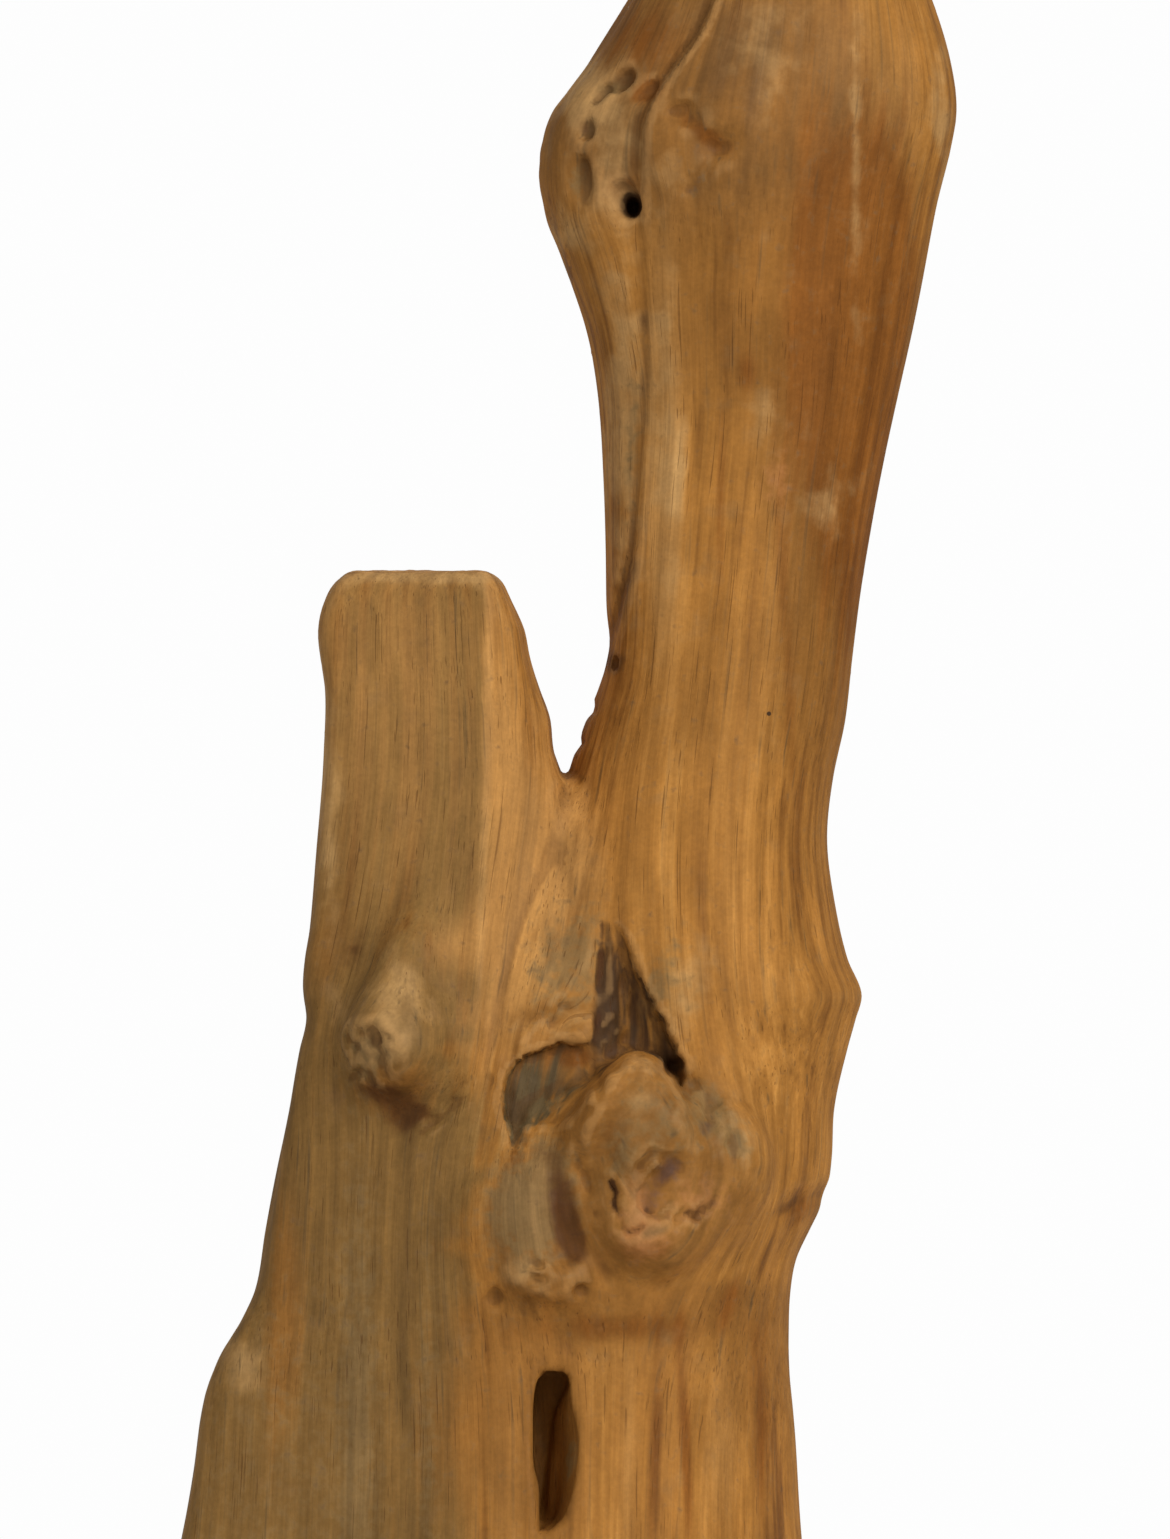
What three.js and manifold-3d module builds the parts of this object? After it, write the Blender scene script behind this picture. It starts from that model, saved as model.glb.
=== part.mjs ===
// A piece of driftwood: a weathered, sanded length of tree trunk that stands on its sawn foot and forks
// into a tall stem with a swollen head and a short limb sawn off square.
// It grew as one piece, so it is one solid. Millimetres, +Z up, its front towards -Y, and its origin
// on the floor under the middle of its box.

import * as THREE from "three";
import { mergeVertices } from "three/addons/utils/BufferGeometryUtils.js";
import Module from "manifold-3d";

const wasm = await Module();
wasm.setup();

// Driving dimensions
const STEM_TOP = 960;
const LIMB_TOP = 574;
const CROTCH = 468;
const SAWN_RIM = { stem: 10, limb: 5, heart: 1 };
const RING_STEP = 16;
const RIM_STEPS = 3;

// Outlines of the three growths, as [height, place] points from the foot up: the left and right edges
// seen from the front, and the front and back edges seen from the side.
const STEM = {
  top: STEM_TOP,
  rim: SAWN_RIM.stem,
  left: [[0, -60], [200, -44], [330, -22], [420, -4], [472, 9], [500, 18], [515, 23], [530, 26], [560, 27],
    [620, 26], [665, 23], [695, 17.5], [725, 7], [755, -4], [772, -7.5], [787, -6], [800, -2], [830, 18.5],
    [860, 37], [910, 64], [960, 84]],
  right: [[0, 135], [90, 124.5], [140, 121.5], [185, 118.5], [212, 119], [230, 122], [246, 129],
    [262, 136.5], [280, 139.5], [305, 141], [335, 147.5], [350, 151.5], [362, 154.5], [380, 147.5],
    [410, 141], [440, 137.5], [470, 140], [500, 146], [530, 150], [575, 156], [635, 167], [695, 180],
    [755, 192], [785, 199.5], [805, 202.5], [830, 199.5], [860, 190.5], [910, 170], [960, 152]],
  front: [[0, -124], [100, -106], [275, -92], [400, -78], [470, -70], [560, -62], [640, -59], [720, -66],
    [790, -75], [850, -70], [910, -56], [960, -42]],
  back: [[0, 126], [100, 105], [275, 84], [400, 70], [470, 62], [560, 55], [640, 53], [720, 58], [790, 66],
    [850, 62], [910, 52], [960, 42]],
  sides: [[0, 1], [45, 0.97], [90, 1], [135, 0.94], [180, 1], [212, 0.97], [263, 0.97], [318, 0.95]],
  rounding: 6,
  around: 34,
};
const LIMB = {
  top: LIMB_TOP,
  rim: SAWN_RIM.limb,
  left: [[0, -202.5], [95, -183.5], [125, -178.5], [155, -174], [170, -170], [185, -163.5], [200, -154],
    [215, -147.5], [245, -142], [275, -136.5], [305, -130.5], [335, -125.5], [350, -122.5], [365, -124],
    [380, -123], [395, -120.5], [440, -116.5], [485, -113.5], [515, -113], [530, -115.5], [545, -116.5],
    [560, -113], [574, -102]],
  right: [[0, 30], [200, 24], [400, 16], [472, 4], [485, 0], [500, -1.5], [515, -6.5], [530, -11], [545, -14],
    [560, -20.5], [574, -28]],
  front: [[0, -116], [100, -104], [200, -94], [300, -86], [400, -72], [500, -60], [560, -54], [574, -48]],
  back: [[0, 112], [100, 98], [200, 86], [300, 74], [400, 62], [500, 52], [560, 47], [574, 42]],
  sides: [[0, 1], [50, 0.95], [90, 1], [140, 0.93], [180, 1], [252, 0.9], [330, 0.86]],
  rounding: 9,
  around: 30,
};
// The heart is the grown-together wood between the two, up to the crotch of the fork.
const HEART = {
  top: CROTCH,
  rim: SAWN_RIM.heart,
  left: [[0, -110], [250, -80], [380, -42], [440, -16], [468, 2]],
  right: [[0, 90], [250, 84], [380, 52], [440, 26], [468, 12]],
  front: [[0, -126], [150, -105], [275, -96], [340, -84], [400, -68], [440, -56], [468, -40]],
  back: [[0, 124], [150, 98], [275, 84], [380, 68], [440, 52], [468, 34]],
  sides: [[0, 1], [90, 1], [180, 1], [270, 1]],
  rounding: 3,
  around: 26,
};

// Broad swellings and dips of the grown surface, on its front or its back: their middle across and up,
// how far they spread and how far they rise, or sink where the rise is below zero.
const SWELLINGS = [
  { side: "front", at: [30, 258], spread: [76, 60], rise: 16 }, // collar round the big knot
  { side: "front", at: [-80, 346], spread: [30, 44], rise: 10 }, // root of the broken stub
  { side: "front", at: [4, 425], spread: [26, 76], rise: -12 }, // valley below the crotch
  { side: "front", at: [20, 800], spread: [26, 60], rise: -14 }, // scooped face of the head
  { side: "front", at: [76, 795], spread: [34, 56], rise: 7 }, // crest beside the scoop
  { side: "back", at: [92, 610], spread: [36, 56], rise: 12 }, // healed scar behind the stem
  { side: "back", at: [-60, 250], spread: [50, 72], rise: 14 }, // healed scar behind the foot
  { side: "back", at: [8, 390], spread: [30, 120], rise: -14 }, // valley between stem and limb
];

// What stands out of the surface, and what rot and weather have taken out of it: egg shapes by middle,
// half sizes and turn (degrees about X, Y and Z).
const KNOTS = [
  { at: [44, -80, 270], half: [58, 45, 48], turn: [-8, 0, 0] }, // big knot
  { at: [41, -88, 301], half: [34, 29, 29], turn: [-30, 0, 0] }, // its upper lobe
  { at: [74, -82, 277], half: [33, 34, 39], turn: [0, -14, 12] }, // its right lobe
  { at: [-4, -97, 222], half: [30, 20, 18], turn: [0, 14, 0] }, // small burr below it
  { at: [-75, -70, 362], half: [16, 24, 40], turn: [14, 8, 0] }, // ridge that runs down to the broken stub
  { at: [-82, -84, 334], half: [21, 32, 20], turn: [0, 0, -24] }, // broken stub
];
const HOLLOWS = [
  { at: [40, -100, 346], half: [21, 26, 50], turn: [0, 14, 0] }, // charred crown above the big knot
  { at: [-11, -102, 312], half: [12, 18, 33], turn: [0, 22, 0] }, // grey cheek beside it
  { at: [2, -98, 137], half: [10.5, 64, 39], turn: [0, -2, 8] }, // slit
  { at: [40, -54, 757], half: [7, 26, 8] }, // deep borehole in the head
  { at: [29, -54, 816], half: [15, 12, 7], turn: [0, -24, 0] }, // worn pocket in the head
  { at: [17, -42, 794], half: [6, 12, 7] }, // round pit in the head
  { at: [15, -38, 768], half: [7, 12, 13] }, // long pit in the head
  { at: [38, -52, 625], half: [5, 16, 82], turn: [0, 4, 0] }, // crevice down the stem
];

const FINE_EGG = [18, 12];
const COARSE_EGG = [12, 8];
const SMALL_EGG = 20;

// A smooth line through [height, place] points, as a function of height.
function smoothLine(points) {
  const heights = points.map(([height]) => height);
  const places = points.map(([, place]) => place);
  const curve = new THREE.CubicInterpolant(heights, places, 1);
  return (height) => curve.evaluate(height)[0];
}

// How far a section reaches at an angle, as a share of its half width: flat sides, each given by its
// direction and distance, with corners that a low rounding makes softer.
function reach(sides, rounding, angle) {
  let sum = 0;
  for (const [degrees, distance] of sides) {
    const facing = Math.cos(angle - THREE.MathUtils.degToRad(degrees)) / distance;
    sum += Math.max(facing, 0) ** rounding;
  }
  return sum ** (-1 / rounding);
}

// How far the swellings push a point of the surface out, by its share of front or back: 0 at its sides.
function swelling(x, z, side, share) {
  let rise = 0;
  for (const { side: on, at, spread, rise: most } of SWELLINGS) {
    if (on !== side) continue;
    const across = (x - at[0]) / spread[0];
    const up = (z - at[1]) / spread[1];
    rise += most * Math.exp(-across * across - up * up);
  }
  return rise * share;
}

// A growth is a section carried up between its four outlines, in even rings and then round the softened
// rim of its sawn top.
function growth({ top, rim, left, right, front, back, sides, rounding, around }) {
  const [leftAt, rightAt, frontAt, backAt] = [left, right, front, back].map(smoothLine);
  const evenRings = Math.round((top - rim) / RING_STEP);
  const rings = evenRings + RIM_STEPS;
  const geometry = new THREE.CylinderGeometry(1, 1, 1, around, rings).rotateX(Math.PI / 2);
  const corner = geometry.getAttribute("position");
  for (let i = 0; i < corner.count; i++) {
    const x = corner.getX(i);
    const y = corner.getY(i);
    const ring = Math.round((corner.getZ(i) + 0.5) * rings);
    const roundRim = (Math.max(ring - evenRings, 0) / RIM_STEPS) * (Math.PI / 2);
    const height = (top - rim) * Math.min(ring / evenRings, 1) + rim * Math.sin(roundRim);
    const inset = rim * (1 - Math.cos(roundRim));
    const wide = (rightAt(height) - leftAt(height)) / 2 - inset;
    const deep = (backAt(height) - frontAt(height)) / 2 - inset;
    const middleX = (rightAt(height) + leftAt(height)) / 2;
    const middleY = (backAt(height) + frontAt(height)) / 2;
    const side = y < 0 ? "front" : "back";
    const out = reach(sides, rounding, Math.atan2(y, x));
    const outX = out / reach(sides, rounding, x < 0 ? Math.PI : 0);
    const outY = out / reach(sides, rounding, y < 0 ? -Math.PI / 2 : Math.PI / 2);
    const placeX = middleX + x * wide * outX;
    const placeY = middleY + y * deep * outY + Math.sign(y) * swelling(placeX, height, side, Math.abs(y));
    corner.setXYZ(i, placeX, placeY, height);
  }
  return solid(geometry);
}

// An egg shape: a ball stretched to its half sizes, turned and put in place.
function egg({ at, half, turn = [0, 0, 0] }) {
  const [around, rings] = Math.max(...half) > SMALL_EGG ? FINE_EGG : COARSE_EGG;
  const turned = new THREE.Euler(...turn.map(THREE.MathUtils.degToRad));
  const place = new THREE.Matrix4().compose(
    new THREE.Vector3(...at),
    new THREE.Quaternion().setFromEuler(turned),
    new THREE.Vector3(...half),
  );
  return solid(new THREE.SphereGeometry(1, around, rings).applyMatrix4(place));
}

// A closed geometry as a solid that can be joined and cut.
function solid(geometry) {
  geometry.deleteAttribute("normal");
  geometry.deleteAttribute("uv");
  const merged = mergeVertices(geometry);
  return new wasm.Manifold(
    new wasm.Mesh({
      numProp: 3,
      vertProperties: merged.getAttribute("position").array,
      triVerts: new Uint32Array(merged.index.array),
    }),
  );
}

// A solid as a geometry.
function geometryOf(body) {
  const { vertProperties, triVerts } = body.getMesh();
  const geometry = new THREE.BufferGeometry();
  geometry.setAttribute("position", new THREE.BufferAttribute(vertProperties, 3));
  geometry.setIndex(new THREE.BufferAttribute(triVerts, 1));
  geometry.computeVertexNormals();
  return geometry;
}

let wood = growth(STEM).add(growth(LIMB)).add(growth(HEART));
for (const hollow of HOLLOWS) wood = wood.subtract(egg(hollow));
for (const knot of KNOTS) wood = wood.add(egg(knot));

const weatheredWood = new THREE.MeshStandardMaterial({ color: "#a9713a", roughness: 0.62, metalness: 0 });
const driftwood = new THREE.Mesh(geometryOf(wood), weatheredWood);
driftwood.name = "driftwood";

const part = new THREE.Group();
part.add(driftwood);

export default part;
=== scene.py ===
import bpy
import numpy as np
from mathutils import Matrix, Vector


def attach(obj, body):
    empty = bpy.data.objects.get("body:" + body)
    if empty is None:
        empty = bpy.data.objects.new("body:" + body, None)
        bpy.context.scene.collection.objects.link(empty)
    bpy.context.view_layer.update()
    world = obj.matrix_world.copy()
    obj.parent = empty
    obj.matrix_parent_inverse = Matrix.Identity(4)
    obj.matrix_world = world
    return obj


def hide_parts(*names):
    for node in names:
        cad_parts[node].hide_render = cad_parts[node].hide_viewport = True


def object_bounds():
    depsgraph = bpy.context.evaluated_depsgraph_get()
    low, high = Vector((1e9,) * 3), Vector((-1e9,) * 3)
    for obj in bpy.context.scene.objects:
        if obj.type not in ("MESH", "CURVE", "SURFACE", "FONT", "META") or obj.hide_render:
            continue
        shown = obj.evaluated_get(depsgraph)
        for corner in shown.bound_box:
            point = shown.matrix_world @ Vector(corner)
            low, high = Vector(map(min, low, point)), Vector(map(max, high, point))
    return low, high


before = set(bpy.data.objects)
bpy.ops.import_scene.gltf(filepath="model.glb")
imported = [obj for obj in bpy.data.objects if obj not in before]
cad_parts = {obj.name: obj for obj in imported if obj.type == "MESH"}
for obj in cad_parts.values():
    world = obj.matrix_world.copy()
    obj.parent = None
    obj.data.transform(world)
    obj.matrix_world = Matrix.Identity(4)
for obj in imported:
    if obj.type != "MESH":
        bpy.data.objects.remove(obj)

# A piece of driftwood: the weathered, sanded wood of a forked trunk, seen from the front in soft light.
# Shapes are worked out in millimetres in the frame's own axes, with the front towards -Y, and put into
# the mesh in metres.

CAD_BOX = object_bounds()
NODE = "driftwood"
FINISH = "weathered_wood"
MM = 0.001
SEED = 7

# Growths: outlines as [height, place] points, and flat sides as [degrees, distance]

STEM = {
    "top": 960.0,
    "rim": 12.0,
    "left": [[0, -60], [200, -44], [330, -22], [420, -4], [472, 9], [500, 18], [515, 23], [530, 26],
             [560, 27], [620, 26], [665, 23], [695, 17.5], [725, 7], [755, -4], [772, -7.5], [787, -6],
             [800, -2], [830, 18.5], [860, 37], [910, 64], [960, 84]],
    "right": [[0, 135], [90, 124.5], [140, 121.5], [185, 118.5], [212, 119], [230, 122], [246, 129],
              [262, 136.5], [280, 139.5], [305, 141], [335, 147.5], [350, 151.5], [362, 154.5], [380, 147.5],
              [410, 141], [440, 137.5], [470, 140], [500, 146], [530, 150], [575, 156], [635, 167],
              [695, 180], [755, 192], [785, 199.5], [805, 202.5], [830, 199.5], [860, 190.5], [910, 170],
              [960, 152]],
    "front": [[0, -124], [100, -104], [275, -88], [400, -77], [470, -70], [560, -62], [640, -59],
              [720, -66], [790, -75], [850, -70], [910, -56], [960, -42]],
    "back": [[0, 126], [100, 105], [275, 84], [400, 70], [470, 62], [560, 55], [640, 53], [720, 58],
             [790, 66], [850, 62], [910, 52], [960, 42]],
    "sides": [[0, 1], [45, 0.97], [90, 1], [135, 0.94], [180, 1], [222, 1.08], [264, 0.97], [318, 0.95]],
    "rounding": 6,
}
LIMB = {
    "top": 574.0,
    "rim": 9.0,
    "left": [[0, -202.5], [95, -183.5], [125, -178.5], [155, -174], [170, -170], [185, -163.5],
             [200, -154], [215, -147.5], [245, -142], [275, -136.5], [305, -130.5], [335, -125.5],
             [350, -122.5], [365, -124], [380, -123], [395, -120.5], [440, -116.5], [485, -113.5],
             [515, -113], [530, -115.5], [545, -116.5], [560, -113], [574, -104]],
    "right": [[0, 30], [200, 24], [400, 16], [472, 4], [485, 0], [500, -1.5], [515, -6.5], [530, -11],
              [545, -14], [560, -20.5], [574, -27]],
    "front": [[0, -107], [100, -93], [200, -84], [300, -77], [400, -68], [500, -58], [560, -52],
              [574, -48]],
    "back": [[0, 112], [100, 98], [200, 86], [300, 74], [400, 62], [500, 52], [560, 47], [574, 44]],
    "sides": [[0, 1], [50, 0.95], [90, 1], [140, 0.93], [180, 1], [250, 0.9], [330, 1.4]],
    "rounding": 14,
}
HEART = {
    "top": 468.0,
    "rim": 6.0,
    "left": [[0, -110], [250, -80], [380, -42], [440, -16], [468, 2]],
    "right": [[0, 90], [250, 84], [380, 52], [440, 26], [468, 12]],
    "front": [[0, -126], [150, -101], [275, -89], [340, -80], [400, -68], [440, -56], [468, -40]],
    "back": [[0, 124], [150, 98], [275, 84], [380, 68], [440, 52], [468, 34]],
    "sides": [[0, 1], [90, 1], [180, 1], [270, 1]],
    "rounding": 3,
}
GROWN_TOGETHER = [[0, 46], [300, 44], [400, 34], [450, 20], [476, 6], [960, 5]]

# The crease down the limb's front, as [height, place], and how steeply the wood falls off to its right
LIMB_CREASE = [[0, -44], [200, -40], [360, -37], [460, -33], [574, -31]]
CREASE_FALL = 0.85
CREASE_SOFT = 1.6

# Swellings: middle across and up, spread across and up, rise; on the front, then on the back

FRONT_SWELLINGS = [
    (44, 262, 66, 50, 7),  # collar round the big knot
    (-78, 346, 30, 44, 7),  # root of the broken stub
    (4, 430, 24, 70, -7),  # valley below the crotch
    (76, 795, 34, 56, 6),  # crest beside the scooped head
    (82, 786, 9, 7, -4),  # dip on that crest
    (152, 800, 9, 110, 2.5),  # long ridge on the head
    (60, 630, 9, 120, 2),  # band along the stem's lip
    (10, 193, 52, 13, -4),  # undercut below the knot
    (-60, 120, 34, 110, -3),  # flutes of the foot
    (62, 110, 26, 90, 3),
    (96, 130, 12, 100, -2.5),
    (134, 362, 16, 34, 3),  # knob at the right
]
BACK_SWELLINGS = [
    (92, 610, 36, 56, 12),  # healed scar behind the stem
    (-60, 250, 50, 72, 14),  # healed scar behind the foot
    (8, 390, 30, 120, -14),  # valley between stem and limb
    (110, 250, 26, 140, -8),  # flute of the foot
    (120, 780, 40, 60, 6),  # swollen head
]

# Eggs: middle, half sizes, turn about X, Y and Z in degrees, and how softly they join

KNOTS = [
    ((52, -70, 270), (49, 41, 47), (0, 0, 0), 12),  # big knot
    ((44, -76, 294), (25, 39, 39), (-12, 0, 0), 9),  # its nose
    ((24, -80, 300), (13, 34, 30), (-10, 35, 0), 9),  # left shoulder of the nose
    ((57, -78, 297), (15, 36, 34), (-10, -38, 0), 8),  # right shoulder
    ((45, -90, 290), (13, 22, 36), (-12, 0, 0), 14),  # ridge of the nose
    ((86, -68, 284), (23, 34, 33), (0, -14, 0), 6),  # right collar
    ((50, -86, 247), (30, 30, 25), (0, 0, 0), 9),  # chin
    ((-12, -80, 250), (32, 21, 34), (0, 20, 0), 16),  # left flank
    ((-6, -93, 222), (20, 15, 12), (0, 18, 0), 9),  # burr
    ((10, -92, 224), (12, 13, 10), (0, -10, 0), 8),
    ((-5, -102, 226), (7, 7, 5), (0, 20, 0), 6),
    ((92, 58, 610), (15, 14, 19), (0, 0, 0), 12),  # healed scars on the back
    ((-60, 84, 250), (22, 16, 26), (0, 10, 0), 14),
]
STUB = [
    ((-73, -62, 366), (16, 22, 36), (-14, 18, 0), 18),  # ridge that runs down to the stub
    ((-66, -60, 338), (30, 46, 26), (6, 10, -40), 18),  # broken stub
]
# The stub's broken end: a point on it, the way it faces and how softly it is worn. Noise makes it ragged:
# here and below, the noise's sizes along three places, its shifts along them, and its height
STUB_END = ((-86, -91, 333), (-0.74, -0.62, -0.26), 2)
STUB_RAGGED = [((11, 11, 11), (0, 0, 0), 3.0), ((4.5, 4.5, 4.5), (0, 0, 0), 1.8)]

HOLLOWS = [
    ((9, -90, 332), (13, 14, 6), (0, 8, 0), 3),  # hollow under the arch
    ((61, -88, 328), (5, 24, 5), (0, 0, 0), 3),  # nook at the crown's right
    ((4, -113, 258), (10, 16, 28), (0, -8, 0), 9),  # valley left of the knot
    ((9, -30, 486), (8, 70, 3.5), (0, -25, 0), 2.5),  # torn steps in the fork
    ((16, -30, 503), (7, 70, 3), (0, -25, 0), 2.5),
    ((92, 74, 611), (4, 7, 7), (0, 0, 0), 5),  # eyes of the scars on the back
    ((-60, 102, 251), (6, 8, 9), (0, 10, 0), 6),
]

# Recesses that rot ate into the front: their left and right edges as [height, place], how deep they are as
# [height, depth], and how wide their left and right edges slope
WORN_WOOD = {
    "left": [[300, -26], [330, -26], [345, -16], [358, -2], [370, 8], [385, 16], [402, 24]],
    "right": [[300, 60], [345, 56], [365, 48], [386, 40], [402, 32]],
    "deep": [[300, 2], [345, 3], [380, 2.5], [402, 0.5]],
    "slopes": (14, 10),
}
CROWN = {
    "left": [[300, 14], [345, 18], [375, 20], [395, 23], [404, 25]],
    "right": [[300, 68], [333, 64.5], [344, 60], [365, 48], [386, 40], [396, 35], [404, 29]],
    "deep": [[300, 15], [340, 15], [370, 10], [395, 5], [404, 0]],
    "slopes": (26, 4),
}
CHEEK = {
    "left": [[281, -17], [285, -20], [290, -22], [302, -24.5], [318, -24], [326, -21], [333, -12], [338, 2]],
    "right": [[281, -15], [288, -9], [296, -3], [305, 6], [312, 14], [320, 28], [338, 30]],
    "deep": [[281, 7], [290, 11], [305, 11], [320, 8], [338, 6]],
    "slopes": (2, 26),
}
RECESSES = (WORN_WOOD, CROWN, CHEEK)
RECESS_ENDS = 2.0
RAGGED = [((7, 1, 9), (0, 0, 0), 1.6), ((2.5, 1, 4), (0, 5, 0), 0.8)]
# What is worn into the front fades out between these places, from the back to the front
FRONT_FADE = (20.0, -10.0)

# Strokes on the front: the points of a broken line as (across, up), half width, depth, or rise below zero.
# Each one's depth is uneven: a mean share, noise about it and the least and most that it may be
STROKE_MEAN = 0.75
STROKE_UNEVEN = [((6, 1, 10), (0, 0, 0), 0.8)]
STROKE_RANGE = (0.1, 1.3)
STROKE_REACH = 3
BROW = [([(-24, 322), (-16, 340), (-2, 347), (12, 348), (20, 344)], 9, -1.7)]
WOOD_CRACKS = [
    ([(25.5, 398), (23.5, 372), (22.5, 350), (20.5, 326)], 2.0, 2.4),  # in the crown
    ([(33, 384), (33, 362), (36, 340)], 2.4, 1.8),
]
WOOD_FOLDS = [
    ([(-69, 385), (-62, 370), (-54, 363), (-52, 352), (-50, 338)], 2.4, 1.6),  # beside the stub
    ([(-64, 295), (-54, 303), (-42, 313)], 2.4, 2.2),
    ([(-60, 303), (-52, 310), (-43, 320)], 2.4, 1.8),
    ([(-23, 326), (-19, 339), (-10, 351), (3, 357.5), (18, 356)], 2.6, 1.5),  # arch over the hollow
    ([(60, 802), (67, 805), (79, 808)], 3, 1.2),  # in the head
    ([(65, 800), (74, 792), (84, 784)], 8, 2.8),
    ([(83, 783), (76, 773), (68, 763)], 4, 1.3),
]
KNOT_CRACKS = [
    ([(30, 271), (32, 265), (31, 260), (34, 254), (35, 249)], 1.5, 2.6),
    ([(35, 248), (39, 245.5), (43, 246.5), (46, 249)], 1.6, 3.2),
    ([(47, 256), (53, 252.5), (57, 254)], 1.6, 2.4),
    ([(63, 252), (67, 255), (72, 253.5), (75, 256.5), (79, 258), (82, 263)], 1.8, 3),
]
STUB_CRACKS = [
    ([(-90, 346), (-86, 340), (-84, 332), (-85, 327)], 2.6, 2.0),
    ([(-99, 322), (-94, 325), (-89, 320), (-84, 323), (-80, 319)], 2.0, 1.6),
    ([(-97, 338), (-93, 332), (-94, 327)], 2.0, 1.4),
]
KNOT_FOLDS = [
    ([(42, 329), (26, 318), (11, 302), (0, 294)], 4.5, -2.2),  # crest of the nose
    ([(42, 329), (53, 325), (62, 315), (65, 300)], 4.5, -1.8),
    ([(44, 279), (50, 284), (57, 282), (64, 277)], 2.6, 2.2),  # round its dead eye
    ([(44, 276), (43, 268), (46, 260)], 3, 1.8),
    ([(66, 320), (74, 311), (82, 302), (88, 292), (92, 283)], 7, 3.4),  # dead ring
    ([(18, 306), (14, 290), (15, 272), (20, 256)], 4, 2),  # down the knot's left
    ([(-18, 228), (-10, 231), (-2, 228), (-4, 222), (-10, 221)], 2.4, 2),  # swirl of the burr
]
# The fold under the right bulge, as [place, height]
FOLD = [[104, 250], [112, 254], [120, 259], [130, 261.5], [140, 262.5], [160, 263]]
FOLD_WIDE = 5.5
FOLD_DEEP = 2.6

# Pits let into the front: across, up, half width, half height, depth, turn in degrees, softness
PITS = [
    (40.8, 755, 4.4, 5.4, 26, 0, 2),  # deep borehole in the head
    (35, 758, 8, 9, 5, 0, 5),
    (34, 818, 8, 6, 5, -20, 4),  # worn pocket in the head
    (23, 811, 8, 4.5, 3.5, -26, 4),
    (17, 794, 5, 6, 4, 0, 4),
    (13.5, 767, 7, 12.5, 3.5, 8, 6),
    (47, 812, 7, 4, 2.5, -30, 4),
    (31, 528, 2.8, 3.2, 4, 0, 2),  # hole at the foot of the crevice
    (-29, 213, 4, 4, 3, 0, 4),  # burr
    (15.5, 216, 4, 3, 3, 0, 4),
    (58, 276, 8, 5, 2.5, -40, 5),  # knot
    (50, 263, 5, 8, 1.5, 20, 5),
]

# The slit: its left and right edges as [height, place], how its right wall leans in, where its mouth and its
# floor lie, its rounding
SLIT_LEFT = [[96.5, -7.6], [116, -8], [130, -9.8], [143, -9.8], [166, -8.5], [174, -6.3], [176.5, -4.5]]
SLIT_RIGHT = [[96.5, -1.5], [98, 1], [101, 4.8], [111, 9.3], [126, 12.3], [140, 13.7], [150, 12.7],
              [163, 9.8], [174, 8.2], [176.5, 6]]
SLIT_LEAN = [[96, 0.35], [150, 0.35], [168, 0.05]]
SLIT_MOUTH = -100.0
SLIT_FLOOR = -62.0
SLIT_SOFT = 0.8

# The lip that runs down the head and the stem, as [height, place], with how far the wood to its left is
# sunk below it and how wide that hollow is
LIP = [[500, 24], [525, 28], [553, 34.5], [582, 42], [612, 45], [655, 47.5], [690, 48.5], [723, 47.5],
       [752, 45.5], [790, 45.5], [804, 49], [822, 60], [842, 74], [860, 81.5], [960, 112]]
LIP_SUNK = [[500, 0], [520, 1], [535, 2.5], [560, 4], [585, 4.2], [610, 3], [660, 2.2], [700, 1.2],
            [735, 1.5], [760, 3.5], [790, 4.5], [830, 4.5], [870, 4], [960, 3]]
LIP_WIDE = [[500, 5], [560, 5], [600, 6], [640, 9], [690, 14], [740, 28], [780, 46], [960, 48]]
LIP_EDGE = (-0.8, 2.0)


def line(points, at):
    """A smooth line through [height, place] points: between two points a cubic whose slope at each point is
    the mean of the slopes on its two sides."""
    heights, places = np.array(points, float).T
    chords = np.diff(places) / np.diff(heights)
    slopes = np.concatenate([chords[:1], (chords[1:] + chords[:-1]) / 2, chords[-1:]])
    at = np.clip(at, heights[0], heights[-1])
    i = np.clip(np.searchsorted(heights, at) - 1, 0, len(heights) - 2)
    span = heights[i + 1] - heights[i]
    t = (at - heights[i]) / span
    rest = 1 - t
    ends = places[i] * (1 + 2 * t) * rest**2 + places[i + 1] * (3 - 2 * t) * t**2
    return ends + span * t * rest * (slopes[i] * rest - slopes[i + 1] * t)


def step(low, high, value):
    """A soft step from 0 at low to 1 at high."""
    t = np.clip((value - low) / (high - low), 0, 1)
    return t * t * (3 - 2 * t)


def ramp(value, soft):
    """Nothing below zero and the value itself above it, with a bend as wide as soft."""
    return (value + np.sqrt(value * value + soft * soft)) / 2


def join(a, b, soft):
    """The two depths' union, with a fillet about as wide as soft."""
    near = np.maximum(soft - np.abs(a - b), 0) / soft
    return np.minimum(a, b) - near * near * soft / 4


def cut(a, b, soft):
    """What is left of the first depth outside the second, with a rounded edge about as wide as soft."""
    return -join(-a, b, soft)


def whole_power(base, power):
    """A whole power by repeated products."""
    result = base
    for _ in range(power - 1):
        result = result * base
    return result


LATTICE = np.random.default_rng(SEED).random((32, 32, 32)).astype(np.float32) * 2 - 1


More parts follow.
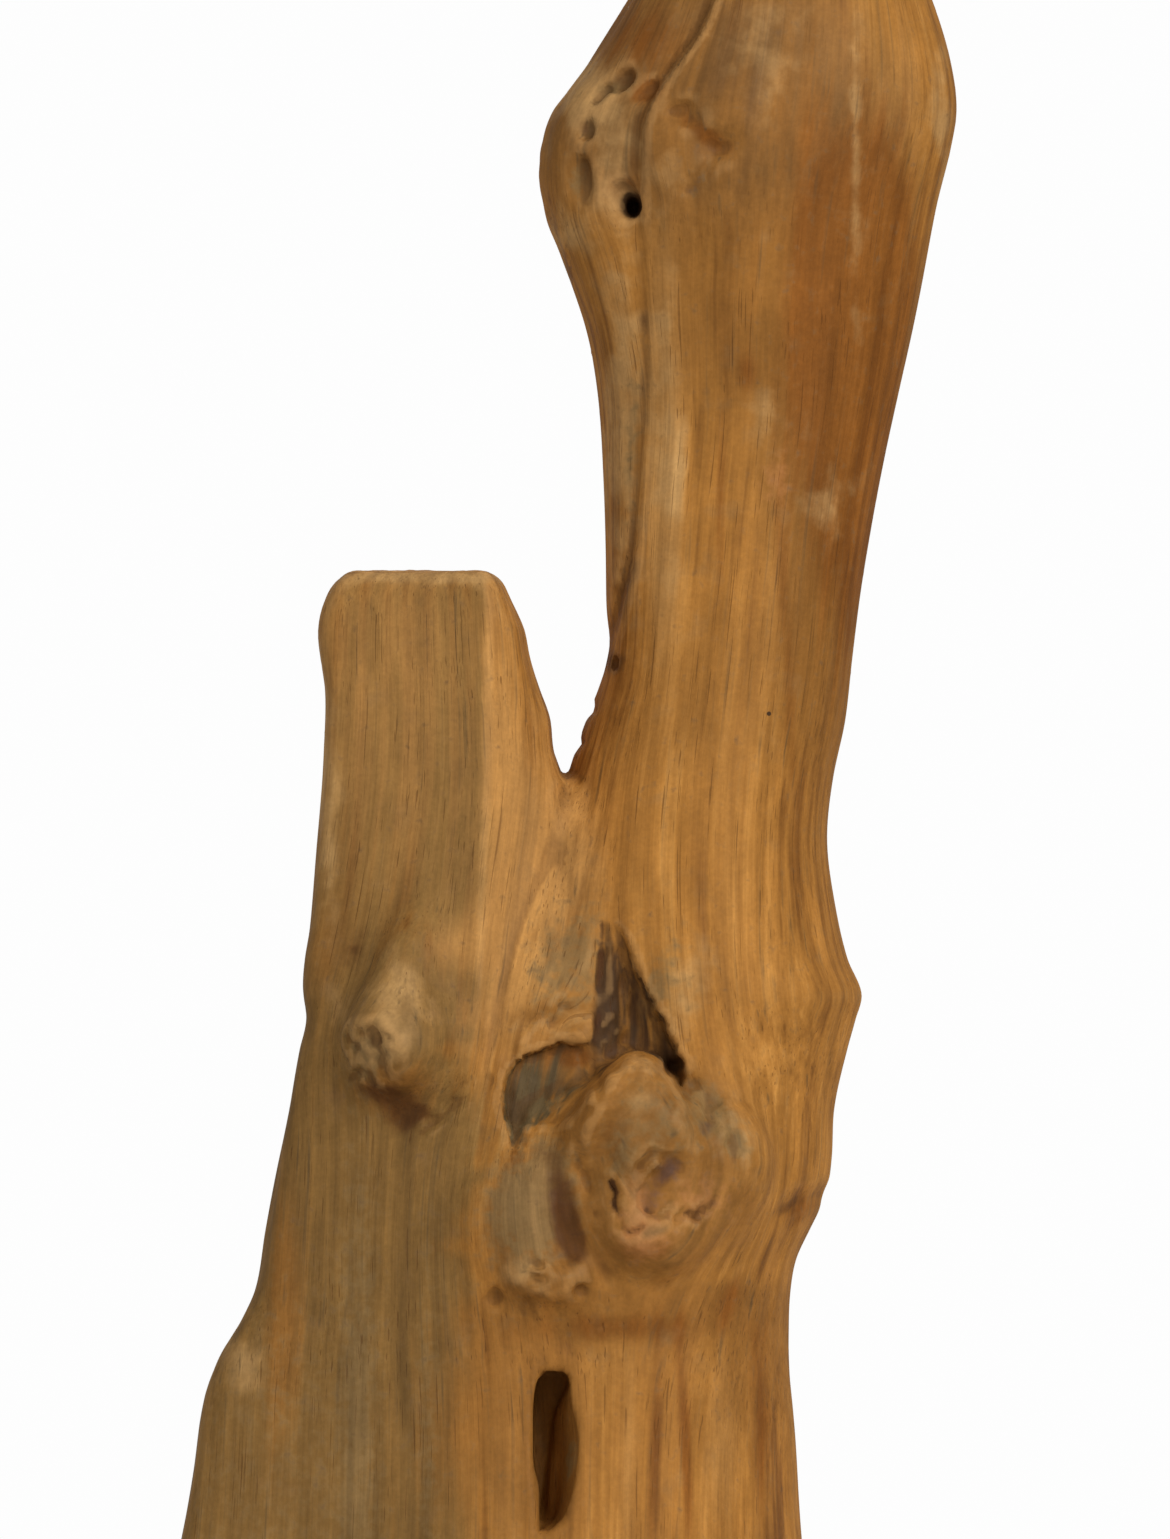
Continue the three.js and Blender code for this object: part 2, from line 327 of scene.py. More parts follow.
def noise(x, y, z):
    """Smooth noise from -1 to 1: seeded values on a repeating lattice, blended between its points."""
    value = 0
    cells = [np.floor(c).astype(int) for c in (x, y, z)]
    blends = [c - cell for c, cell in zip((x, y, z), cells)]
    blends = [b * b * (3 - 2 * b) for b in blends]
    for corner in np.ndindex(2, 2, 2):
        weight = 1
        for blend, side in zip(blends, corner):
            weight = weight * (blend if side else 1 - blend)
        i, j, k = [(cell + side) % len(LATTICE) for cell, side in zip(cells, corner)]
        value = value + weight * LATTICE[i, j, k]
    return value


def bumps(rows, x, y, z):
    """The sum of noises, each on places divided by its sizes and shifted, times its height."""
    total = 0
    for sizes, shifts, height in rows:
        places = [c / size + shift for c, size, shift in zip((x, y, z), sizes, shifts)]
        total = total + height * noise(*places)
    return total


def swelling(swellings, x, z):
    """The sum of soft bumps, each falling off across and up from its middle."""
    total = 0
    for mx, mz, wide, tall, rise in swellings:
        total = total + rise * np.exp(-(((x - mx) / wide) ** 2) - ((z - mz) / tall) ** 2)
    return total


def gauge(sides, rounding, across, deep):
    """How far out a point lies in a section, 1 on its edge, and the gauge's slopes across and deep. The
    gauge is the power mean of how far the point lies towards each flat side."""
    angles = np.radians([degrees for degrees, _ in sides])
    total, slope_across, slope_deep = 1e-12, 0, 0
    for cos, sin, distance in zip(np.cos(angles), np.sin(angles), [side[1] for side in sides]):
        facing = np.maximum(across * cos + deep * sin, 0) / distance
        lower = whole_power(facing, rounding - 1)
        total = total + lower * facing
        slope_across = slope_across + lower * cos / distance
        slope_deep = slope_deep + lower * sin / distance
    out = total ** (1 / rounding)
    lower = total / out
    return out, slope_across / lower, slope_deep / lower


def growth(shape, x, y, z, front, back):
    """Depth of a growth, below zero inside, and the way its side faces: a section carried up between four
    outlines, swollen on its front and back, and rounded over at its sawn top."""
    sides, rounding = shape["sides"], shape["rounding"]
    left, right, near, far = (line(shape[side], z) for side in ("left", "right", "front", "back"))
    wide, deep = (right - left) / 2, (far - near) / 2
    u = (x - (left + right) / 2) / wide
    v = (y - (near + far) / 2) / deep
    v = v + (front * np.clip(-v, 0, 1) - back * np.clip(v, 0, 1)) / deep
    to_right, to_left, to_back, to_front = (
        float(gauge(sides, rounding, *way)[0]) for way in ((1, 0), (-1, 0), (0, 1), (0, -1))
    )
    span_u = np.where(u < 0, 1 / to_left, 1 / to_right)
    span_v = np.where(v < 0, 1 / to_front, 1 / to_back)
    out, slope_u, slope_v = gauge(sides, rounding, u * span_u, v * span_v)
    slope_x, slope_y = slope_u * span_u / wide, slope_v * span_v / deep
    slope = np.sqrt(slope_x**2 + slope_y**2) + 1e-9
    return cut((out - 1) / slope, shape["top"] - z, shape["rim"]), slope_x / slope, slope_y / slope


def grow_together(a, b, soft):
    """The union of two growths, with a fillet where their sides face apart and none where they lie
    together."""
    (a, ax, ay), (b, bx, by) = a, b
    apart = (1 - ax * bx - ay * by) / 2
    first = a < b
    return join(a, b, soft * np.sqrt(apart) + 0.5), np.where(first, ax, bx), np.where(first, ay, by)


def turned(turn):
    """The matrix that turns about X, then Y, then Z as the axes go along, by degrees."""
    (cx, cy, cz), (sx, sy, sz) = np.cos(np.radians(turn)), np.sin(np.radians(turn))
    about_x = np.array([[1, 0, 0], [0, cx, -sx], [0, sx, cx]])
    about_y = np.array([[cy, 0, sy], [0, 1, 0], [-sy, 0, cy]])
    about_z = np.array([[cz, -sz, 0], [sz, cz, 0], [0, 0, 1]])
    return about_x @ about_y @ about_z


def egg(middle, half, turn, x, y, z):
    """Depth of a stretched and turned ball, below zero inside."""
    away = [c - m for c, m in zip((x, y, z), middle)]
    axes = turned(turn).T
    local = [sum(axis[i] * away[i] for i in range(3)) for axis in axes]
    k0 = np.sqrt(sum((c / h) ** 2 for c, h in zip(local, half))) + 1e-6
    k1 = np.sqrt(sum((c / h**2) ** 2 for c, h in zip(local, half))) + 1e-6
    return k0 * (k0 - 1) / k1


EGG_REACH = 16.0


def with_eggs(wood, combine, eggs, x, y, z, past_end=None):
    """The depth with eggs joined on or cut out, each worked out only where it can reach. Where a broken end
    is given, as how far points lie past it, the eggs stop there."""
    for middle, half, turn, soft in eggs:
        reach = max(half) + soft + EGG_REACH
        near = np.flatnonzero(np.max(np.abs([c - m for c, m in zip((x, y, z), middle)]), axis=0) < reach)
        shape = egg(middle, half, turn, x[near], y[near], z[near])
        if past_end is not None:
            shape = cut(shape, -past_end[near], STUB_END[2])
        wood[near] = combine(wood[near], shape, soft)
    return wood


def growths(x, y, z):
    """Depth of the trunk, below zero inside: stem, limb and heart grown together."""
    front = swelling(FRONT_SWELLINGS, x, z)
    back = swelling(BACK_SWELLINGS, x, z)
    fall = CREASE_FALL * ramp(x - line(LIMB_CREASE, z), CREASE_SOFT)
    soft = line(GROWN_TOGETHER, z)
    stem = growth(STEM, x, y, z, front, back)
    limb = growth(LIMB, x, y, z, front - fall, back)
    heart = growth(HEART, x, y, z, front, back)
    return grow_together(grow_together(stem, limb, soft), heart, soft)[0]


def with_knots(wood, x, y, z):
    """The depth with the knots and the broken stub joined on, each softly."""
    wood = with_eggs(wood, join, KNOTS, x, y, z)
    past_end = sum((c - p) * n for c, p, n in zip((x, y, z), *STUB_END[:2]))
    return with_eggs(wood, join, STUB, x, y, z, past_end + bumps(STUB_RAGGED, x, y, z))


def off_line(points, x, z):
    """How far places across and up lie from a broken line: the least of the distances to its stretches."""
    least = np.inf
    for (x0, z0), (x1, z1) in zip(points, points[1:]):
        dx, dz = x1 - x0, z1 - z0
        t = np.clip(((x - x0) * dx + (z - z0) * dz) / (dx * dx + dz * dz), 0, 1)
        least = np.minimum(least, np.hypot(x - x0 - t * dx, z - z0 - t * dz))
    return least


def strokes(lines, x, y, z):
    """How far the front is sunk along broken lines: each one's depth, unevenly, falling off with the
    distance from it."""
    total = np.zeros(len(x))
    for points, wide, deep in lines:
        low, high = np.min(points, 0) - STROKE_REACH * wide, np.max(points, 0) + STROKE_REACH * wide
        framed = (x > low[0]) & (x < high[0]) & (z > low[1]) & (z < high[1])
        near = np.flatnonzero(framed & (y < FRONT_FADE[0]))
        px, py, pz = x[near], y[near], z[near]
        uneven = np.clip(STROKE_MEAN + bumps(STROKE_UNEVEN, px, 0 * py, pz), *STROKE_RANGE)
        fall = np.exp(-((off_line(points, px, pz) / wide) ** 2))
        total[near] += deep * uneven * fall * step(*FRONT_FADE, py)
    return total


def inside(recess, slopes, x, z):
    """How far places across and up lie inside a recess, from 0 outside it to 1 past its left and right
    slopes. Noise makes its edges ragged."""
    x = x + bumps(RAGGED, x, 0 * x, z)
    low, high = recess["left"][0][0], recess["left"][-1][0]
    left = step(0, slopes[0], x - line(recess["left"], z))
    right = step(0, slopes[1], line(recess["right"], z) - x)
    return left * right * step(low - RECESS_ENDS, low, z) * step(high + RECESS_ENDS, high, z)


def sinking(x, y, z):
    """How far the front is sunk: to the left of the lip, most beside it, inside each recess between its
    sloping, ragged edges, along the fold and along the strokes."""
    left = line(LIP, z) - x
    total = line(LIP_SUNK, z) * step(*LIP_EDGE, left) * np.exp(-((left / line(LIP_WIDE, z)) ** 2))
    for recess in RECESSES:
        total = total + line(recess["deep"], z) * inside(recess, recess["slopes"], x, z)
    fold = np.exp(-(((z - line(FOLD, x)) / FOLD_WIDE) ** 2)) * step(FOLD[0][0], FOLD[2][0], x)
    lines = BROW + WOOD_FOLDS + WOOD_CRACKS
    return (total + FOLD_DEEP * fold) * step(*FRONT_FADE, y) + strokes(lines, x, y, z)


def slit(x, y, z):
    """Depth of the slit, below zero inside it: the space between its edges, its ends and its floor."""
    ends = np.maximum(SLIT_LEFT[0][0] - z, z - SLIT_LEFT[-1][0])
    right = line(SLIT_RIGHT, z) - line(SLIT_LEAN, z) * np.maximum(y - SLIT_MOUTH, 0)
    across = np.maximum(line(SLIT_LEFT, z) - x, x - right)
    return np.maximum(np.maximum(ends, across), y - SLIT_FLOOR)


def carved(x, y, z):
    """Depth of the wood with what rot and weather took out of it, but for the pits: sunk where it is worn,
    with its knots, and cut by the hollows and the slit."""
    wood = with_knots(growths(x, y, z) + sinking(x, y, z), x, y, z)
    wood = wood + strokes(KNOT_CRACKS + STUB_CRACKS + KNOT_FOLDS, x, y, z)
    wood = with_eggs(wood, cut, HOLLOWS, x, y, z)
    return cut(wood, slit(x, y, z), SLIT_SOFT)


PROBE_AHEAD = 5.0
PROBE_STEP = 0.5


def front_of(x, z):
    """Where the carved wood's front lies at places across and up: the first place from the front at which
    its depth is below zero."""
    y = np.arange(CAD_BOX[0][1] / MM - PROBE_AHEAD, 0, PROBE_STEP)
    depths = carved(np.repeat(x, len(y)), np.tile(y, len(x)), np.repeat(z, len(y)))
    return y[np.argmax(depths.reshape(len(x), -1) < 0, axis=1)]


def seated(pits):
    """Pits as eggs whose middles lie on the carved wood's front."""
    across, up = np.array([pit[:2] for pit in pits], float).T
    eggs = []
    for (x, z, wide, tall, deep, turn, soft), y in zip(pits, front_of(across, up)):
        eggs.append(((x, y, z), (wide, deep, tall), (0, turn, 0), soft))
    return eggs


PIT_EGGS = seated(PITS)


def worn(x, y, z):
    """Depth of the whole piece, below zero inside the wood: carved wood, with its pits, on its sawn foot."""
    return np.maximum(with_eggs(carved(x, y, z), cut, PIT_EGGS, x, y, z), -z)


# Skin: a closed mesh over the wood, on a grid with a plain and a fine step, the fine one in zones

FINE_UP = [(196, 402), (740, 830)]
FINE_ACROSS = [(-106, -62), (-30, 106)]
STEPS_UP = (3.8, 2.0)
STEPS_ACROSS = (3.3, 2.0)
STEP_DEEP = 3.6
ZONE_EDGE = 12.0
PROBES = 4000
MARGIN = 8.0
# The depth is worked out at one in so many places first, and in full where it is less than this
COARSE = 4
BAND = 26.0


def graded(low, high, steps, zones):
    """Grid places from low to high: the plain step apart, and the fine step apart inside the zones."""
    plain, fine = steps
    probe = np.linspace(low, high, PROBES)
    zoned = sum(step(a - ZONE_EDGE, a, probe) * step(b + ZONE_EDGE, b, probe) for a, b in zones)
    density = 1 / (plain + (fine - plain) * zoned)
    count = np.concatenate([[0], np.cumsum((density[1:] + density[:-1]) / 2 * np.diff(probe))])
    return np.interp(np.arange(0, count[-1]), count, probe)


def field_near_skin(xs, ys, zs):
    """The depth on a grid, worked out on a coarse grid first and in full only near the skin."""
    places = np.meshgrid(xs[::COARSE], ys[::COARSE], zs[::COARSE], indexing="ij")
    field = worn(*(c.ravel() for c in places)).reshape(places[0].shape)
    for axis, full in enumerate((xs, ys, zs)):
        field = np.repeat(field, COARSE, axis).take(range(len(full)), axis)
    i, j, k = np.nonzero(np.abs(field) < BAND)
    field[i, j, k] = worn(xs[i], ys[j], zs[k])
    return field


def skin(xs, ys, zs):
    """Points and quads of the surface where the depth is zero: one point in each grid cell that the surface
    crosses, at the mean of its crossings with the cell's edges, and one quad round each crossed edge."""
    field = field_near_skin(xs, ys, zs)
    wood = field < 0
    corners = list(np.ndindex(2, 2, 2))
    shape = np.array(field.shape) - 1
    count = np.zeros(shape, np.int8)
    for corner in corners:
        count += wood[tuple(slice(c, c + n) for c, n in zip(corner, shape))]
    cells = np.argwhere((count > 0) & (count < 8))
    number = np.full(shape, -1)
    number[tuple(cells.T)] = np.arange(len(cells))
    values = {c: field[tuple((cells + c).T)] for c in corners}
    places = {c: np.stack([s[cells[:, i] + c[i]] for i, s in enumerate((xs, ys, zs))], 1) for c in corners}
    total, crossings = np.zeros((len(cells), 3)), np.zeros((len(cells), 1))
    for a in corners:
        for axis in (i for i in range(3) if a[i] == 0):
            b = tuple(1 if i == axis else a[i] for i in range(3))
            crossed = (values[a] < 0) != (values[b] < 0)
            t = np.where(crossed, values[a] / np.where(crossed, values[a] - values[b], 1), 0)[:, None]
            total += crossed[:, None] * (places[a] + t * (places[b] - places[a]))
            crossings += crossed[:, None]
    points = total / crossings
    quads = []
    for axis in range(3):
        u, v = (axis + 1) % 3, (axis + 2) % 3
        here = [slice(None)] * 3
        there = [slice(None)] * 3
        here[axis], there[axis] = slice(None, -1), slice(1, None)
        edges = np.argwhere(wood[tuple(here)] != wood[tuple(there)])
        ring = []
        for du, dv in ((-1, -1), (0, -1), (0, 0), (-1, 0)):
            cell = edges.copy()
            cell[:, u] += du
            cell[:, v] += dv
            ring.append(number[tuple(cell.T)])
        ring = np.stack(ring, 1)
        leaving = wood[tuple(edges.T)]
        quads.append(np.where(leaving[:, None], ring, ring[:, ::-1]))
    return points, np.concatenate(quads)


def around(points, reach):
    """The depths at points and on both sides of them along each axis."""
    here = worn(*points.T)
    after = np.stack([worn(*(points + reach * way).T) for way in np.eye(3)], 1)
    before = np.stack([worn(*(points - reach * way).T) for way in np.eye(3)], 1)
    return here, after, before


def outward(points, reach=0.4):
    """Outward unit directions and depths at points, by differences of the depth."""
    here, after, before = around(points, reach)
    slope = after - before
    return here, slope / (np.linalg.norm(slope, axis=1, keepdims=True) + 1e-9)


def settle(points, rounds=2, most=1.2):
    """Moves points onto the surface, along its slope."""
    for _ in range(rounds):
        here, out = outward(points)
        points = points - out * np.clip(here, -most, most)[:, None]
    return points


def bend(points, reach=5.0, radius=7.0):
    """How the surface bends, from -1 in a crease to 1 on an edge of the radius: the sum of the depth's
    second differences along the three axes."""
    here, after, before = around(points, reach)
    bending = (after + before - 2 * here[:, None]).sum(1) / reach**2
    return np.clip(bending * radius, -1, 1)


# Fibres and relief

MIDDLE_FIBRE = [[0, -12], [300, 2], [400, 9], [470, 14]]
STEM_FIBRE_LEFT = MIDDLE_FIBRE + [[540, 22], [640, 27], [720, 18], [790, 8], [860, 37], [960, 84]]
STEM_FIBRE_RIGHT = [[0, 130], [150, 121], [300, 136], [440, 141], [560, 154], [700, 181], [800, 200],
                    [860, 190], [960, 152]]
LIMB_FIBRE_LEFT = [[0, -158], [150, -144], [300, -128], [450, -116], [574, -112]]
LIMB_FIBRE_RIGHT = MIDDLE_FIBRE + [[500, 11], [574, 2]]
FIBRE_DEEP = [[0, 124], [100, 104], [300, 86], [470, 66], [640, 58], [790, 74], [960, 42]]
STEM_FIBRES = 140.0
LIMB_FIBRES = 165.0
DEEP_FIBRES = 80.0
# Where fibres part round a knot: across, up, half width, half height; how little they part at its middle,
# how far they part, and where that fades out, from the back to the front
PARTINGS = [(46, 272, 60, 62), (-80, 335, 26, 30), (16, 335, 22, 34), (38, 757, 13, 15),
            (134, 362, 18, 26)]
BACK_PARTINGS = [(92, 610, 22, 28), (-60, 250, 32, 38)]
PARTING_CORE = 0.6
PARTING_SHARE = 0.8
PARTING_FADE = np.array([25.0, -10.0])


def fibres(points):
    """Places across, deep in and along the fibres. Fibres run between the growths' sides, kept in
    proportion, and part round the knots as a stream parts round a post."""
    x, y, z = points.T
    parting = 0
    for fade, knots in ((PARTING_FADE, PARTINGS), (-PARTING_FADE, BACK_PARTINGS)):
        side = step(*fade, y)
        for mx, mz, wide, tall in knots:
            dx, dz = (x - mx) / wide, (z - mz) / tall
            parting = parting + (x - mx) / (dx * dx + dz * dz + PARTING_CORE) * side
    split = (line(STEM_FIBRE_LEFT, z) + line(LIMB_FIBRE_RIGHT, z)) / 2
    left, right = line(STEM_FIBRE_LEFT, z), line(STEM_FIBRE_RIGHT, z)
    on_stem = (x - left) / (right - left) * STEM_FIBRES
    left, right = line(LIMB_FIBRE_LEFT, z), line(LIMB_FIBRE_RIGHT, z)
    on_limb = (x - right) / (right - left) * LIMB_FIBRES
    across = np.where(x > split, on_stem, on_limb)
    return np.stack([across - PARTING_SHARE * parting, y / line(FIBRE_DEEP, z) * DEEP_FIBRES, z], 1)


# Fine relief as rows of noise, where the ribs of the hollows lie, and how near the sawn ends it fades out
FLUTES = [((11, 11, 260), (0, 0, 0), 0.55), ((5, 5, 120), (7, 0, 0), 0.25)]
RIBS = [((5, 9, 60), (5, 0, 0), 1.5), ((2.8, 6, 30), (0, 0, 5), 0.9)]
LUMPS = [((15, 15, 15), (0, 6, 0), 1.6), ((7, 7, 7), (3, 0, 0), 0.7)]
UNEVEN = [((38, 38, 60), (0, 3, 0), 0.7)]
CRUMBS = [((7, 7, 7), (0, 0, 9), 1.9), ((3.6, 3.6, 3.6), (0, 4, 0), 1.0)]
RIBS_SUNK = (2, 5)
RIBS_TOP = 410
SAWN_PLAIN = (2, 14)


def relief(points, fibre, rough, burl, sunk):
    """Fine relief along the outward direction: flutes that follow the fibres, ribs inside the hollows, a
    little unevenness everywhere, lumps on the knots and crumbling where the wood is rough."""
    x, y, z = points.T
    ribs = bumps(RIBS, x, y, z) * step(*RIBS_SUNK, sunk) * (z < RIBS_TOP)
    lumps = bumps(LUMPS, x, y, z) * burl
    crumbs = bumps(CRUMBS, x, y, z) * rough
    sides = step(*SAWN_PLAIN, z) * step(*SAWN_PLAIN, STEM["top"] - z)
    return (bumps(FLUTES, *fibre.T) + ribs + lumps + bumps(UNEVEN, x, y, z) + crumbs) * sides


# Weathering and painted light: soft patches on the front, then on the back, as (across, up, half width, half
# height, strength) and, where a patch is turned, its turn in degrees. The dark patches are painted shade;
# other patches of painted shade and painted highlights are marked where they stand

PATCHES = {
    "straw": [
        (-75, 500, 60, 110, 1.0), (-28, 400, 24, 70, 1.0), (4, 425, 22, 40, 0.8), (-22, 130, 18, 60, 0.5),
        (84, 135, 9, 60, 0.6), (38, 130, 7, 60, 0.45), (172, 800, 18, 50, 0.55), (56, 640, 8, 100, 1.6),
    ],
    "brown": [
        # (76, 789): painted shade in the fold in the head
        (100, 690, 60, 60, 0.7), (80, 800, 90, 80, 0.6), (76, 789, 15, 14, 1.4, 35),
        # (1, 137): dark brown in and round the slit, partly painted shade; (90, 170) and (-40, 150): darker
        # towards the foot
        (-86, 334, 20, 22, 0.4), (1, 137, 18, 46, 1.2), (90, 170, 60, 60, 0.5), (-40, 150, 40, 60, 0.7),
        # (16, 204): painted shade under the knot; (-4, 354): painted shade under the arch; (9, 256): painted
        # shade in the valley left of the knot
        (16, 204, 48, 11, 1.1), (-4, 354, 20, 6, 0.8, -10), (9, 256, 13, 28, 1.3, -6),
        # (74, 208): painted shade under the knot
        (130, 560, 18, 110, 0.85, -5), (74, 208, 44, 11, 1.0), (-133, 205, 10, 66, 0.95, 3),
        # (-78, 316): painted shade under the stub
        (-112, 384, 12, 30, 0.6, 14), (88, 515, 46, 70, 0.5), (-78, 316, 18, 12, 0.9, -10),
    ],
    "taupe": [(88, 806, 78, 64, 1.2), (56, 300, 30, 22, 0.4), (-16, 260, 20, 24, 0.75)],
    "red": [
        (148, 640, 28, 120, 1.3, -6), (166, 740, 18, 60, 1.0), (140, 720, 14, 60, 0.7, -4),
        # (10, 332): painted shade under the arch; (77, 790): painted shade in the fold in the head
        (10, 332, 11, 6, 1.2), (47, 812, 8, 5, 1.1, -30), (77, 790, 14, 6, 1.0, 38),
        # (124, 255): painted shade in the fold under the right bulge
        (45, 838, 22, 22, 0.7, -40), (34, 766, 9, 7, 0.9), (124, 255, 14, 8, 0.6, -20),
        # (30, 198): painted shade under the knot
        (97, 672, 6, 10, 0.6), (30, 198, 50, 8, 0.6), (51, 135, 3.5, 60, 0.9, 2),
        (66, 145, 3.2, 55, 0.9, -3), (104, 145, 6, 50, 0.8), (88, 212, 9, 14, 0.6, 20),
        (118, 520, 4, 90, 0.6, -3), (44, 237, 18, 8, 0.55), (84, 600, 3, 80, 0.6),
    ],
    "pale": [
        # (8, 347): painted highlight on the brow's lit top; (-112, 455): painted highlight along the limb's
        # left edge; (-76, 358): painted highlight on the stub's ridge
        (8, 347, 14, 8, 0.3), (-112, 455, 7, 90, 0.6, -3), (-76, 358, 13, 24, 0.7, 14),
        # (151, 800): painted highlight on the ridge of the head
        (105, 835, 18, 40, 0.35, 10), (151, 800, 3, 90, 0.42), (194, 800, 6, 40, 0.5),
        (137, 608, 12, 14, 0.5), (64, 622, 4, 24, 0.6, 2), (-156, 177, 12, 18, 0.6, 20),
        # (10, 745): painted highlight on the lit lower rim of the pits in the head
        (45, 312, 11, 14, 0.45), (10, 745, 26, 12, 0.6, -35), (-10, 226, 16, 9, 0.5),
        # (-65, 571): pale rim of the limb's sawn top, worn and partly a painted highlight
        (-65, 571, 60, 4, 0.9), (107, 650, 7, 12, 0.5), (65, 364, 13, 22, 0.6, 24), (57, 640, 7, 100, 0.5),
        (36, 650, 11, 100, 0.7), (14, 815, 18, 44, 0.8, -34), (-88, 336, 13, 15, 0.55),
    ],
    "pink": [
        (111, 618, 9, 16, 0.45, 8), (46, 243, 14, 12, 0.55), (42, 262, 8, 18, 0.6), (74, 262, 16, 14, 0.5),
    ],
    "grey": [
        (-11, 257, 18, 24, 1.0, 8), (0, 276, 8, 18, 0.6, -10), (80, 304, 9, 16, 0.9, -35),
        (93, 288, 7, 10, 0.7, -20), (34, 283, 8, 12, 0.5), (-92, 333, 10, 13, 0.6),
        (74, 768, 4, 14, 0.4, 32), (52, 368, 7, 30, 0.6, 26), (18, 384, 6, 26, 0.5),
        (40, 640, 5, 56, 0.5, 3), (64, 362, 10, 12, 0.4), (4, 376, 15, 26, 0.75, 10),
        # (9, 132): painted highlight on the slit's right inner wall
        (13.5, 767, 6, 11, 0.6, 8), (9, 132, 2.6, 10, 0.9, 8), (30, 814, 11, 5, 0.7, -24),
        (54, 300, 22, 24, 0.4), (-8, 260, 22, 26, 0.5), (-140, 120, 60, 110, 0.3), (-96, 150, 9, 150, 0.65),
        (-62, 130, 6, 130, 0.4), (-120, 470, 5, 90, 0.4),
    ],
    "plum": [
        # (4, 258): painted shade in the valley left of the knot
        (58, 276, 7, 5, 0.9, -40), (50, 263, 4, 7, 0.5, 20), (4, 258, 6, 21, 0.65, -6),
        (17, 793, 3.5, 4.5, 0.5), (76, 297, 4, 4, 0.5), (72, 766, 3, 9, 0.4, 35),
    ],
    # Dark patches: painted shade under the stub and beside its ridge, in the pits, the holes and the crown's
    # nook, in the knot's valley and under it, in the fold under the right bulge, along the lip's shaded side
    # and under the arch
    "dark": [
        (-86, 315, 15, 6, 0.9), (-71, 304, 11, 10, 1.0, -20), (-87, 341, 4, 7, 0.5, 10),
        (-98, 384, 10, 14, 0.55, 24), (120, 258, 14, 4, 0.5, -20), (34, 818, 5, 4, 0.5, -20),
        (17, 795, 3.5, 4.5, 0.4), (36, 558, 4, 30, 0.5, 16), (46, 690, 2.5, 60, 0.4),
        (31.5, 527, 5, 6, 1.0), (6, 258, 7, 25, 1.15, -6), (12, 246, 5, 12, 0.5), (14, 240, 5, 9, 0.5),
        (8, 333, 9, 5, 0.35), (60, 329, 7, 6, 1.0),
    ],
    "ash": [(-16, 304, 13, 26, 1.0, 10), (6, 318, 22, 16, 0.5), (84, 300, 20, 20, 0.3)],
    # Char: dark wood in the crown hollow, partly painted shade of the hollow; in the head's borehole it is
    # painted shade
    "char_and_shade": [
        (40, 350, 24, 60, 0.56, 8), (27, 366, 7, 34, 0.5, 4), (56, 332, 11, 14, 0.5, 20),
        (40.8, 755, 6.5, 7, 1.6),
    ],
    "burl": [
        (54, 275, 44, 46, 1.5), (-6, 236, 28, 26, 1.3), (-84, 333, 22, 18, 1.1), (20, 785, 30, 34, 0.9),
        (0, 330, 24, 26, 0.6),
    ],
    "rough": [
        (83, 301, 15, 18, 1.1, -35), (0, 260, 13, 24, 0.6), (44, 252, 18, 16, 0.35),
        (-91, 333, 14, 16, 0.9), (2, 350, 22, 17, 0.85), (-6, 222, 24, 14, 0.7), (30, 814, 14, 8, 0.5, -24),
        (56, 270, 24, 22, 0.3),
    ],
}
BACK_PATCHES = {
    "straw": [(40, 150, 60, 120, 0.7), (-70, 470, 40, 90, 0.6)],
    "red": [(120, 420, 30, 120, 0.6), (-150, 120, 30, 90, 0.5)],
    "pale": [(100, 720, 30, 80, 0.4), (-60, 250, 30, 34, 0.4)],
    "grey": [(-60, 250, 30, 40, 0.5), (50, 520, 26, 120, 0.5), (-20, 200, 30, 120, 0.4)],
    # Dark patches on the back: painted shade in the scars' eyes and along the valley between stem and limb
    "dark": [(92, 611, 7, 9, 1.0), (-60, 251, 8, 11, 1.0), (10, 440, 12, 50, 0.5)],
    "burl": [(92, 610, 17, 22, 1.3), (-60, 250, 24, 28, 1.3)],
}
# Patches of the front and of the back fade into each other between these places
PATCH_FADE = np.array([15.0, -15.0])
# The olive side to the left of the crease, partly olive-grey wood and partly painted shade of the side turned
# from the
# light: how strong it is and how wide its border is, as [height, value], how its border wanders, how much
# stronger it is along the border of the limb's top, and where it ends
OLIVE = [[0, 1.15], [330, 0.95], [420, 0.55], [500, 0.42], [574, 0.36]]
OLIVE_BORDER = [[0, 13], [200, 15], [300, 24], [360, 26], [430, 8], [574, 4]]
OLIVE_WANDER = [((60, 30, 60), (0, 0, 0), 0.6), ((20, 7, 20), (0, 0, 0), 0.3)]
OLIVE_MORE = 0.35
OLIVE_MORE_WIDE = 26
OLIVE_MORE_FROM = (380, 440)
OLIVE_FADE = (60, 0)
# Ash and char lie only where the wood is sunk this deep, and char also this far inside the crown's edges,
# where the crown is sunk a little; the char there is partly painted shade of the hollows
HOLLOW_DEPTH = (1.0, 4.0)
CHAR_EDGES = (5.0, 4.5)
CHAR_DEPTH = (0.2, 1.0)
# Strokes that hold dirt, and the depth at which they are black with it
DARK_STROKES = WOOD_CRACKS + KNOT_CRACKS
CRACK_DEPTH = 3.0
# The slit's rim is not worn pale, this far round it
SLIT_RIM = 9.0


